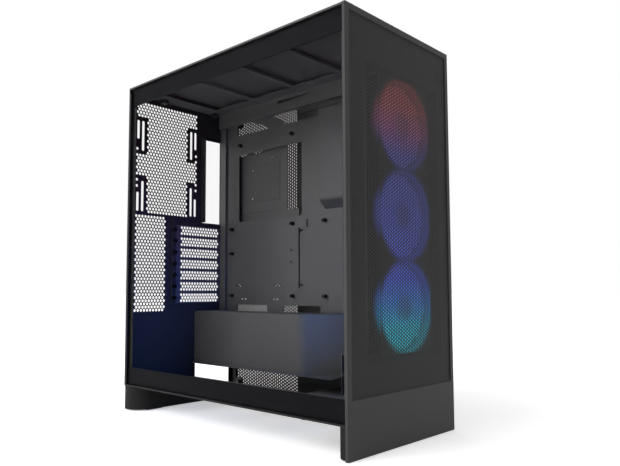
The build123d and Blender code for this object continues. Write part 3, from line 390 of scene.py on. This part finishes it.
def lit_plastic(name):
    """Milky plastic lit from behind the hub: dimmer over the hub and towards the blades' tips."""
    milk = Finish(name, Roughness=0.45, Specular_IOR_Level=0.3, Emission_Strength=1.0)
    reach = wheel_reach(milk)
    cloud = milk.noise(60.0, 2.0)
    hub_shade = 0.56 + 0.38 * milk.smooth(reach, 0.18, 0.42)
    tip_shade = 1.0 - 0.15 * milk.smooth(reach, 0.80, 1.02)
    light = hub_shade * tip_shade * (0.85 + 0.3 * cloud)
    milk.drive(Emission_Color=milk.mix(light, NO_LIGHT, glow_colour(milk)))
    milk.drive(Base_Color=milk.mix(cloud, scaled(MILK_WHITE, 0.10), scaled(MILK_WHITE, 0.16)))
    return milk.material


def frame_with_painted_glow(name, colour):
    """Black moulded plastic with painted light: its emission stands in for the fans' light falling on it.

    On the face and in the bores the light fades outwards and with depth. On the two flanks it fades in a
    wider oval, in which the depth behind the face counts as distance.
    """
    plastic = Finish(name, Specular_IOR_Level=0.4, Emission_Strength=1.0)
    spark_grain(plastic, colour, 0.55)
    low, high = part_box("fan_frame")
    depth = plastic.axis("Y") - low.y
    face = 1.0 - plastic.smooth(wheel_reach(plastic), *GLOW_REACH)
    face = face * (1.0 - plastic.smooth(depth, *GLOW_DEPTH))
    flank = 1.0 - plastic.smooth(wheel_reach(plastic, depth, GLOW_NARROW), *GLOW_REACH)
    outer = plastic.smooth(plastic.axis("X"), low.x + FLANK_EDGE, low.x)
    outer = outer + plastic.smooth(plastic.axis("X"), high.x - FLANK_EDGE, high.x)
    # Painted light: the frame emits the fans' colour where their light would fall on it
    light = GLOW_LEVEL * (face + outer * (flank - face))
    plastic.drive(Emission_Color=plastic.mix(light, NO_LIGHT, glow_colour(plastic)))
    return plastic.material


def wheel_reach(finish, depth=0.0, narrow=1.0):
    """Distance from the nearest fan's axis as a share of the blade tips' radius.

    The part of it that runs across counts the depth behind the face too, and is scaled by narrow.
    """
    across = narrow * (finish.math("ABSOLUTE", finish.axis("X") - FAN_X) + depth)
    ups = [finish.axis("Z") - height for height in FAN_HEIGHTS]
    top, middle, bottom = ((across * across + up * up) ** 0.5 for up in ups)
    nearest = finish.math("MINIMUM", finish.math("MINIMUM", top, middle), bottom)
    return nearest / TIP_RADIUS


REAR_NODES = ("rear_panel", "rear_pillars", "slot_retainer")
TOP_NODES = ("top_panel", "top_strip", "top_skirts", "top_frame", "top_mesh")
finishes = {
    "chassis_steel": powder_coat("chassis_powder_coat", CHASSIS_PAINT, 0.46, 0.22),
    "panel_steel": powder_coat("panel_powder_coat", BLACK_PAINT, 0.52, 0.25),
    "panel_mesh": powder_coat("mesh_powder_coat", BLACK_PAINT, 0.55, 0.25),
    "glass_clear": clear_glass("clear_side_glass"),
    "glass_band": powder_coat("black_band", BAND_BLACK, 0.34, 0.02),
    "clip_pins": turned_steel("stud_steel", DARK_STEEL, 0.35),
    "clip_plastic": moulded_plastic("clip_plastic", PLASTIC_BLACK, 0.5),
    "screw_steel": turned_steel("black_screw_steel", BLACK_STEEL, 0.5),
    # Fan frame: black plastic with painted light from the fans
    "fan_plastic": frame_with_painted_glow("fan_frame_painted_glow", PLASTIC_BLACK),
    "fan_light": lit_plastic("light_ring_plastic"),
    "blade_plastic": lit_plastic("lit_blade_plastic"),
    "foot_plastic": moulded_plastic("foot_plastic", RUBBER_BLACK, 0.6, 0.1),
    "pad_rubber": rubber("pad_rubber", RUBBER_BLACK),
    "filter_plastic": moulded_plastic("filter_plastic", PLASTIC_BLACK, 0.5),
    "filter_nylon": moulded_plastic("filter_nylon", PLASTIC_BLACK, 0.6),
    "board_laminate": circuit_laminate("connector_board", BOARD_DARK),
    "port_shell": turned_steel("plated_shell", BRIGHT_STEEL, 0.28),
    "button_plastic": moulded_plastic("button_plastic", PLASTIC_BLACK, 0.45),
}
# Rear wall, pillars and retainer: a darker copy of the chassis coat, painted shade
own_finishes = dict.fromkeys(REAR_NODES, powder_coat("rear_coat_painted_shade", REAR_SHADED_PAINT, 0.50, 0.10))
# Top panel, strip, skirts, frame and mesh: a paler copy of the chassis coat, painted light
own_finishes.update(dict.fromkeys(TOP_NODES, powder_coat("top_coat_painted_light", TOP_LIT_PAINT, 0.60, 0.06)))
# Floor pan: painted light inside, painted shade along the lip
own_finishes["floor_pan"] = painted_floor_coat("floor_coat_painted_light_shade", CHASSIS_PAINT)
for subpart in frame["record"]["subparts"]:
    node = subpart["node"]
    mesh = nodes[node].data
    mesh.materials.clear()
    mesh.materials.append(own_finishes.get(node, finishes[subpart["material_slot"]]))


# New pieces


def make_piece(name, points, faces, body, slot, replaced, smooth=False):
    """Put arrays of points and quads into a mesh, let it ride on a body, and stand in for a node."""
    mesh = bpy.data.meshes.new(name)
    mesh.from_pydata(points, [], faces)
    mesh.polygons.foreach_set("use_smooth", np.full(len(faces), smooth))
    mesh.materials.append(own_finishes.get(replaced, finishes[slot]))
    mesh.update()
    piece = bpy.data.objects.new(name, mesh)
    bpy.context.scene.collection.objects.link(piece)
    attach(piece, body)
    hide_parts(replaced)


def perforated_layer(width, height, pitch, share):
    """One flat layer with staggered holes, as points (u, v) and quads.

    Points lie on a grid at every half pitch. Each cell is one pitch wide and one row tall, and odd rows
    start half a pitch later. A hexagon stands at each cell's middle, with the radius that gives the wanted
    open share, and six quads join the cell's six rim points to the hexagon's corners. Half cells at the ends
    of odd rows are plain quads.
    """
    columns = round(width / pitch)
    rows = round(height / (pitch * math.sqrt(3) / 2))
    u, v = np.meshgrid(np.linspace(0, width, 2 * columns + 1), np.linspace(0, height, rows + 1))
    grid = np.stack([u, v], axis=-1)
    index = np.arange(u.size).reshape(u.shape)
    radius = math.sqrt(share * (width / columns) * (height / rows) / (1.5 * math.sqrt(3)))
    angles = np.radians([-150, -90, -30, 30, 90, 150])
    hexagon = radius * np.stack([np.cos(angles), np.sin(angles)], axis=-1)
    points = [grid.reshape(-1, 2)]
    quads = []
    count = u.size
    for parity in (0, 1):
        row, column = np.meshgrid(
            np.arange(parity, rows, 2), np.arange(parity, 2 * columns - 1, 2), indexing="ij"
        )
        row, column = row.ravel(), column.ravel()
        rim = np.stack(
            [
                index[row, column],
                index[row, column + 1],
                index[row, column + 2],
                index[row + 1, column + 2],
                index[row + 1, column + 1],
                index[row + 1, column],
            ],
            axis=-1,
        )
        middle = (grid[row, column] + grid[row + 1, column + 2]) / 2
        corners = middle[:, None, :] + hexagon
        hole = count + np.arange(len(middle) * 6).reshape(-1, 6)
        count += hole.size
        points.append(corners.reshape(-1, 2))
        following = np.roll(np.arange(6), -1)
        quads.append(np.stack([rim, rim[:, following], hole[:, following], hole], axis=-1).reshape(-1, 4))
    odd = np.arange(1, rows, 2)
    for start in (0, 2 * columns - 1):
        ends = [index[odd, start], index[odd, start + 1], index[odd + 1, start + 1], index[odd + 1, start]]
        quads.append(np.stack(ends, axis=-1))
    return np.concatenate(points), np.concatenate(quads)


def perforated_sheet(node, name, body, slot, axes, holes):
    """Two flat perforated layers at the two faces of a thin node's box, facing outwards.

    The axes are the sheet's normal, then the layer's u and v, and the holes are a pitch and an open share.
    The second layer is the first one moved by the sheet's thickness, with its quads turned round.
    """
    normal_axis, u_axis, v_axis = axes
    low, high = (np.array(corner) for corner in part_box(node))
    size = high - low
    flat, quads = perforated_layer(size[u_axis], size[v_axis], *holes)
    points = np.empty((2, len(flat), 3))
    points[:, :, u_axis] = low[u_axis] + flat[:, 0]
    points[:, :, v_axis] = low[v_axis] + flat[:, 1]
    in_order = (u_axis - normal_axis) % 3 == 1
    points[0, :, normal_axis] = high[normal_axis] if in_order else low[normal_axis]
    points[1, :, normal_axis] = low[normal_axis] if in_order else high[normal_axis]
    faces = np.concatenate([quads, quads[:, ::-1] + len(flat)])
    make_piece(name, points.reshape(-1, 3), faces, body, slot, node)


perforated_sheet("front_mesh", "front_perforated_sheet", "front_cover", "panel_mesh", (1, 2, 0), FRONT_HOLES)
perforated_sheet("right_mesh", "right_perforated_sheet", "right_side", "panel_mesh", (0, 2, 1), SIDE_HOLES)
perforated_sheet("top_mesh", "top_perforated_sheet", "top_cover", "panel_mesh", (2, 0, 1), TOP_HOLES)
perforated_sheet("filter_mesh", "filter_weave", "dust_filter", "filter_nylon", (2, 0, 1), FILTER_HOLES)


def grid_quads(rows, columns, closed=True):
    """Quads of a grid of points. Where it closes on itself, the last column joins the first."""
    index = np.arange(rows * columns).reshape(rows, columns)
    following = np.roll(index, -1, axis=1)
    quads = np.stack([index[:-1], following[:-1], following[1:], index[1:]], axis=-1)
    return (quads if closed else quads[:, :-1]).reshape(-1, 4)


def folded_cover(node, name, body, slot):
    """The cable cover's sheet: a section with rounded bends, drawn along Y, with a wall at each end.

    The section goes from the tray up the bevel, up the face and back to the tray below the rail. At each
    bend a quadratic curve takes the corner's place, from a bend's length before it to a bend's length after
    it. The grid's four rows are a wall's foot on the tray, the section at one end, the section at the other,
    and the other wall's foot.
    """
    low, high = (np.array(corner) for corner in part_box(node))
    near = high[0] - COVER_SEAM
    top = high[2] - COVER_DROP
    corners = np.array([(near, low[2]), (low[0], low[2] + COVER_BEVEL), (low[0], top), (near, top)])
    way = np.diff(corners, axis=0)
    way /= np.linalg.norm(way, axis=1, keepdims=True)
    share = np.linspace(0, 1, 9)[None, :, None]
    bend = corners[1:-1, None]
    before = bend - COVER_BEND * way[:-1, None]
    after = bend + COVER_BEND * way[1:, None]
    curves = (1 - share) ** 2 * before + 2 * share * (1 - share) * bend + share**2 * after
    section = np.concatenate([corners[:1], curves.reshape(-1, 2), corners[-1:]])
    points = np.empty((4, len(section), 3))
    points[:, :, 0] = section[:, 0]
    points[[0, 3], :, 0] = high[0]
    points[:, :, 1] = np.array([low[1], low[1], high[1], high[1]])[:, None]
    points[:, :, 2] = section[:, 1]
    make_piece(name, points.reshape(-1, 3), grid_quads(4, len(section), closed=False), body, slot, node)


folded_cover("cable_cover", "folded_cable_cover", "chassis", "chassis_steel")


def folded_shroud(node, name, body, slot):
    """The shroud's sheet: a section of lip, wall and top plate, drawn along a path that turns inwards.

    The path goes forward beside the bay, round an arc and straight on to the front end. At each place along
    it the section goes from the lip's straight edge to the wall's foot, up the wall, round a small edge and
    over to the tray.
    """
    low, high = (np.array(corner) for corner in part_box(node))
    side, foot, top = low[0] + SHROUD_LIP, high[2] - SHROUD_TALL, high[2]
    angle = np.radians(SHROUD_TURN) * np.linspace(0, 1, 17)
    arc_x = side + SHROUD_RADIUS * (1 - np.cos(angle))
    arc_y = SHROUD_BEND - SHROUD_RADIUS * np.sin(angle)
    end_y = low[1] + SHROUD_SHORT
    end_x = arc_x[-1] + (arc_y[-1] - end_y) * np.tan(angle[-1])
    x = np.concatenate([[side], arc_x, [end_x]])
    y = np.concatenate([[high[1]], arc_y, [end_y]])
    corner = np.linspace(0, np.pi / 2, 5)[:, None]
    edge_x = x + SHROUD_EDGE * (1 - np.cos(corner))
    edge_z = top - SHROUD_EDGE * (1 - np.sin(corner))
    lip_x = np.full_like(x, low[0])
    tray_x = np.full_like(x, high[0])
    section_x = np.concatenate([[lip_x, x], edge_x, [tray_x]])
    heights = np.concatenate([[foot - SHROUD_DROP, foot], edge_z[:, 0], [top]])
    points = np.stack(np.broadcast_arrays(section_x, y, heights[:, None]), axis=-1)
    make_piece(name, points.reshape(-1, 3), grid_quads(*section_x.shape, closed=False), body, slot, node)


folded_shroud("psu_shroud", "folded_psu_shroud", "chassis", "chassis_steel")


def blade_skins(middle, deep, rows=15, columns=24):
    """All the blades of a wheel, each a closed skin round its section.

    The span runs from inside the hub to the tip. At each span the section is a thin lens: its middle line
    goes through the blade's spread of angle while its depth goes from front to back, bowed by a sine. The
    section is swept forward with the square of the span, and its thickness falls to nothing at the root and
    the tip.
    """
    turn = np.linspace(0, 2 * np.pi, BLADE_COUNT, endpoint=False)[:, None, None]
    span = np.linspace(0, 1, rows)[None, :, None]
    loop = np.linspace(0, 2 * np.pi, columns, endpoint=False)[None, None, :]
    root = HUB_RADIUS - HUB_WALL / 2
    radius = root + span * (TIP_RADIUS - root)
    along = (1 - np.cos(loop)) / 2
    angle = turn + np.radians(BLADE_SPREAD) * (along - 0.5) + np.radians(BLADE_SWEEP) * span**2
    bowed = along - 0.5 + BLADE_BOW * np.sin(np.pi * along)
    thick = BLADE_THICK / 2 * np.sin(loop) * np.sqrt(1 - (2 * span - 1) ** 8)
    depth = middle + deep * bowed + thick + 0 * turn
    return np.stack([radius * np.cos(angle), depth, radius * np.sin(angle)], axis=-1)


def hub_skin(front, back, columns=72):
    """The hub's cap: a profile of radius and depth, turned full circle.

    The profile goes from the axis over the dished face, round the edge, down the outside and up the inside.
    """
    corner = np.linspace(0, np.pi / 2, 6)
    edge_radius = HUB_RADIUS - HUB_ROUND + HUB_ROUND * np.sin(corner)
    edge_depth = front + HUB_ROUND * (1 - np.cos(corner))
    inner = HUB_RADIUS - HUB_WALL
    ceiling = front + HUB_ROUND
    dish = front + HUB_DISH
    face_radius = [0, HUB_DISH_REACH * HUB_RADIUS, HUB_FACE_REACH * HUB_RADIUS]
    radius = np.concatenate([face_radius, edge_radius, [HUB_RADIUS, inner, inner, 0]])
    depth = np.concatenate([[dish, dish, front], edge_depth, [back, back, ceiling, ceiling]])
    turn = np.linspace(0, 2 * np.pi, columns, endpoint=False)
    x = radius[:, None] * np.cos(turn)
    z = radius[:, None] * np.sin(turn)
    return np.stack([x, np.broadcast_to(depth[:, None], x.shape), z], axis=-1)


def fan_wheel(node, body, name):
    """A hub with its blades, as one piece on the fan's axis."""
    low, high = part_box(node)
    hub = hub_skin(low.y, high.y)
    blades = blade_skins((low.y + high.y) / 2, BLADE_DEPTH * (high.y - low.y))
    hub_points = hub.reshape(-1, 3)
    count, rows, columns = blades.shape[:3]
    starts = len(hub_points) + rows * columns * np.arange(count)
    blade_faces = grid_quads(rows, columns)[None] + starts[:, None, None]
    points = np.concatenate([hub_points, blades.reshape(-1, 3)])
    points += np.array([FAN_X, 0, FAN_PLACES[body][2]])
    faces = np.concatenate([grid_quads(*hub.shape[:2]), blade_faces.reshape(-1, 4)])
    make_piece(name, points, faces, body, "blade_plastic", node, smooth=True)


for node, body in zip(FAN_NODES, FAN_BODIES):
    fan_wheel(node, body, body.replace("rotor", "wheel"))


# Stage, light and camera


def stage_floor():
    """Pale floor that shows as white, with its shown white turned down near the tower as painted shade, and which
    keeps the tower's shadow.
    """
    corners = FLOOR_HALF * np.array([(-1, -1, 0), (1, -1, 0), (1, 1, 0), (-1, 1, 0)])
    mesh = bpy.data.meshes.new("floor")
    mesh.from_pydata(corners, [], [(0, 1, 2, 3)])
    floor = bpy.data.objects.new("floor", mesh)
    bpy.context.scene.collection.objects.link(floor)
    finish = Finish("pale_floor", Roughness=0.9, Specular_IOR_Level=0.0, Emission_Strength=1.0)
    finish.drive(Base_Color=finish.mix(finish.noise(2.0), FLOOR_WHITE, scaled(FLOOR_WHITE, 1.01)))
    reach = (finish.axis("X") ** 2 + finish.axis("Y") ** 2) ** 0.5
    # Painted shade: near the tower the floor's shown white is turned down
    level = FLOOR_SHADED_LEVEL + (1.0 - FLOOR_SHADED_LEVEL) * finish.smooth(reach, *FLOOR_REACH)
    finish.drive(Emission_Color=finish.mix(finish.shown() * level, NO_LIGHT, PLAIN_WHITE))
    mesh.materials.append(finish.material)


def studio_world(light):
    """White where it is seen, and a plain soft light elsewhere."""
    world = bpy.data.worlds.new("studio")
    bpy.context.scene.world = world
    world.use_nodes = True
    shading = Shading(world.node_tree)
    background = world.node_tree.nodes["Background"]
    shading.feed(background.inputs["Color"], colour_of(PLAIN_WHITE))
    shading.feed(background.inputs["Strength"], light + (1.0 - light) * shading.shown())


def area_lamp(name, place, target, size, power, colour=PLAIN_WHITE, seen=False, spread=180):
    """Soft lamp of a width and height at a place, facing a target. Where seen, reflections show it."""
    data = bpy.data.lights.new(name, "AREA")
    data.shape = "RECTANGLE"
    data.size, data.size_y = size
    data.energy = power
    data.color = colour
    data.spread = math.radians(spread)
    lamp = bpy.data.objects.new(name, data)
    bpy.context.scene.collection.objects.link(lamp)
    way = np.array(target) - np.array(place)
    lamp.location = place
    flat = math.hypot(way[0], way[1])
    lamp.rotation_euler = (math.pi / 2 + math.atan2(way[2], flat), 0.0, math.atan2(-way[0], way[1]))
    lamp.visible_camera = False
    lamp.visible_glossy = seen


stage_floor()
studio_world(WORLD_LIGHT)
area_lamp("key_lamp", (-1.9, 0.45, 1.5), MIDDLE, (1.4, 1.4), 42.0)
area_lamp("fill_lamp", (-1.1, -0.10, 0.06), (0.0, 0.0, 0.40), (0.8, 0.4), 8.0)
area_lamp("edge_lamp", (-1.75, 1.25, 0.8), MIDDLE, (0.5, 1.6), 14.0, seen=True)
area_lamp("overhead_lamp", (0.0, 0.0, 3.0), MIDDLE, (3.0, 3.0), 46.0)

# Each fan throws a beam towards the glass and a soft glow straight back
fan_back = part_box("fan_frame")[1].y + FAN_LAMP_GAP
for body, height, colour in zip(FAN_BODIES, FAN_HEIGHTS, FAN_LIGHT):
    place = (FAN_X, fan_back, height)
    beam_end = (-0.09, 0.2, height - FAN_BEAM_DROP)
    glow_end = (0.03, 0.2, height)
    area_lamp(body + "_light", place, beam_end, FAN_LAMP_SIZE, FAN_BEAM_POWER, colour, spread=FAN_BEAM_SPREAD)
    area_lamp(body + "_glow", place, glow_end, FAN_LAMP_SIZE, FAN_GLOW_POWER, colour)

camera_data = bpy.data.cameras.new("camera")
camera_data.sensor_width = 36.0
camera_data.lens = CAMERA_LENS
camera_data.shift_x, camera_data.shift_y = CAMERA_SHIFT
camera = bpy.data.objects.new("camera", camera_data)
bpy.context.scene.collection.objects.link(camera)
camera.location = CAMERA_PLACE
camera.rotation_euler = (math.radians(CAMERA_TILT), 0.0, math.radians(CAMERA_TURN))
bpy.context.scene.camera = camera
bpy.context.scene.view_settings.view_transform = "Standard"
